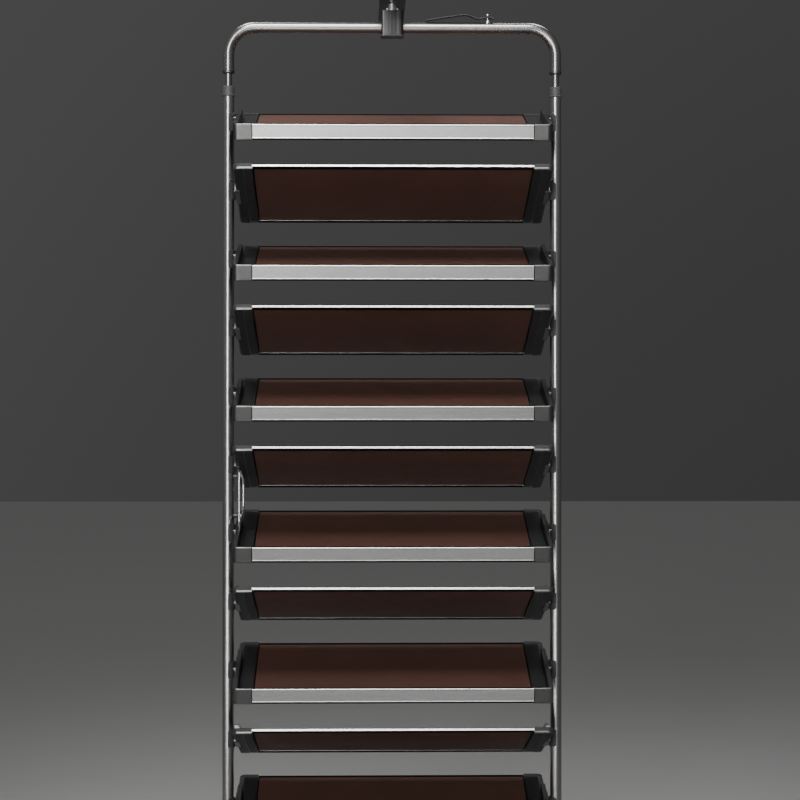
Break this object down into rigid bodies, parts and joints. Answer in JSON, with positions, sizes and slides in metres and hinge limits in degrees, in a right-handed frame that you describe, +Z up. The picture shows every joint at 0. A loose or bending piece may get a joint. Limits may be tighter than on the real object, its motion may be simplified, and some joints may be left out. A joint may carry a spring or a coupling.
{
  "type": "rotating shoe rack",
  "caption": "Tall rotating shoe rack: sloping lipped trays, facing front and rear by turns, tilt between tube uprights in a frame that spins between floor and ceiling plates.",
  "frame": {"origin": "on the spin axis, at the underside of the base plate", "axes": "+Z up along the spin axis; +X to the right as seen from the front; +Y to the rear of the wardrobe"},
  "size_m": [0.748, 0.4, 2.1228],
  "materials": {
    "panel_board": "satin coffee-brown lacquer",
    "lip_aluminium": "satin anodised",
    "cap_plastic": "fine satin anthracite",
    "steel_tube": "satin silver",
    "collar_plastic": "satin grey",
    "chrome_wire": "polished",
    "dark_steel": "satin dark grey",
    "spring_steel": "dull spring steel",
    "ceiling_plate": "satin dark grey",
    "base_plate": "satin anthracite",
    "bearing_steel": "ground steel"
  },
  "bodies": {
    "base": {"base_plate": "base_plate", "thrust_bearing": "bearing_steel"},
    "rack": {"bottom_arch": "steel_tube", "left_upright": "steel_tube", "right_upright": "steel_tube", "left_collar": "collar_plastic", "right_collar": "collar_plastic", "handle_loop": "chrome_wire"},
    "top_arch": {"top_arch": "steel_tube", "top_coupling": "dark_steel", "locating_spring": "spring_steel"},
    "ceiling_mount": {"top_mount": "ceiling_plate"},
    "tray_01": {"tray_01_panel": "panel_board", "tray_01_lip_rail": "lip_aluminium", "tray_01_left_cap": "cap_plastic", "tray_01_right_cap": "cap_plastic"},
    "tray_02": {"tray_02_panel": "panel_board", "tray_02_lip_rail": "lip_aluminium", "tray_02_left_cap": "cap_plastic", "tray_02_right_cap": "cap_plastic"},
    "tray_03": {"tray_03_panel": "panel_board", "tray_03_lip_rail": "lip_aluminium", "tray_03_left_cap": "cap_plastic", "tray_03_right_cap": "cap_plastic"},
    "tray_04": {"tray_04_panel": "panel_board", "tray_04_lip_rail": "lip_aluminium", "tray_04_left_cap": "cap_plastic", "tray_04_right_cap": "cap_plastic"},
    "tray_05": {"tray_05_panel": "panel_board", "tray_05_lip_rail": "lip_aluminium", "tray_05_left_cap": "cap_plastic", "tray_05_right_cap": "cap_plastic"},
    "tray_06": {"tray_06_panel": "panel_board", "tray_06_lip_rail": "lip_aluminium", "tray_06_left_cap": "cap_plastic", "tray_06_right_cap": "cap_plastic"},
    "tray_07": {"tray_07_panel": "panel_board", "tray_07_lip_rail": "lip_aluminium", "tray_07_left_cap": "cap_plastic", "tray_07_right_cap": "cap_plastic"},
    "tray_08": {"tray_08_panel": "panel_board", "tray_08_lip_rail": "lip_aluminium", "tray_08_left_cap": "cap_plastic", "tray_08_right_cap": "cap_plastic"},
    "tray_09": {"tray_09_panel": "panel_board", "tray_09_lip_rail": "lip_aluminium", "tray_09_left_cap": "cap_plastic", "tray_09_right_cap": "cap_plastic"},
    "tray_10": {"tray_10_panel": "panel_board", "tray_10_lip_rail": "lip_aluminium", "tray_10_left_cap": "cap_plastic", "tray_10_right_cap": "cap_plastic"},
    "tray_11": {"tray_11_panel": "panel_board", "tray_11_lip_rail": "lip_aluminium", "tray_11_left_cap": "cap_plastic", "tray_11_right_cap": "cap_plastic"},
    "tray_12": {"tray_12_panel": "panel_board", "tray_12_lip_rail": "lip_aluminium", "tray_12_left_cap": "cap_plastic", "tray_12_right_cap": "cap_plastic"}
  },
  "joints": [
    {"name": "rack_spin", "type": "hinge", "parent": "base", "child": "rack", "pos_m": [0, 0, 0.0451], "axis": [0, 0, 1], "continuous": true},
    {"name": "height_slide", "type": "slide", "parent": "rack", "child": "top_arch", "axis": [0, 0, 1], "range_m": [-0.0275, 0.12]},
    {"name": "top_pivot_turn", "type": "hinge", "parent": "top_arch", "child": "ceiling_mount", "pos_m": [0, 0, 2.0667], "axis": [0, 0, 1], "continuous": true},
    {"name": "tray_01_tilt", "type": "hinge", "parent": "rack", "child": "tray_01", "pos_m": [0, 0, 1.8564], "axis": [1, 0, 0], "range_deg": [-8, 4]},
    {"name": "tray_02_tilt", "type": "hinge", "parent": "rack", "child": "tray_02", "pos_m": [0, 0, 1.7064], "axis": [-1, 0, 0], "range_deg": [-8, 4]},
    {"name": "tray_03_tilt", "type": "hinge", "parent": "rack", "child": "tray_03", "pos_m": [0, 0, 1.5564], "axis": [1, 0, 0], "range_deg": [-8, 4]},
    {"name": "tray_04_tilt", "type": "hinge", "parent": "rack", "child": "tray_04", "pos_m": [0, 0, 1.4064], "axis": [-1, 0, 0], "range_deg": [-8, 4]},
    {"name": "tray_05_tilt", "type": "hinge", "parent": "rack", "child": "tray_05", "pos_m": [0, 0, 1.2564], "axis": [1, 0, 0], "range_deg": [-8, 4]},
    {"name": "tray_06_tilt", "type": "hinge", "parent": "rack", "child": "tray_06", "pos_m": [0, 0, 1.1064], "axis": [-1, 0, 0], "range_deg": [-8, 4]},
    {"name": "tray_07_tilt", "type": "hinge", "parent": "rack", "child": "tray_07", "pos_m": [0, 0, 0.9564], "axis": [1, 0, 0], "range_deg": [-8, 4]},
    {"name": "tray_08_tilt", "type": "hinge", "parent": "rack", "child": "tray_08", "pos_m": [0, 0, 0.8064], "axis": [-1, 0, 0], "range_deg": [-8, 4]},
    {"name": "tray_09_tilt", "type": "hinge", "parent": "rack", "child": "tray_09", "pos_m": [0, 0, 0.6564], "axis": [1, 0, 0], "range_deg": [-8, 4]},
    {"name": "tray_10_tilt", "type": "hinge", "parent": "rack", "child": "tray_10", "pos_m": [0, 0, 0.5064], "axis": [-1, 0, 0], "range_deg": [-8, 4]},
    {"name": "tray_11_tilt", "type": "hinge", "parent": "rack", "child": "tray_11", "pos_m": [0, 0, 0.3564], "axis": [1, 0, 0], "range_deg": [-8, 4]},
    {"name": "tray_12_tilt", "type": "hinge", "parent": "rack", "child": "tray_12", "pos_m": [0, 0, 0.2064], "axis": [-1, 0, 0], "range_deg": [-8, 4]}
  ],
  "couplings": [
    {"joint": "top_pivot_turn", "follows": "rack_spin", "ratio": -1}
  ]
}
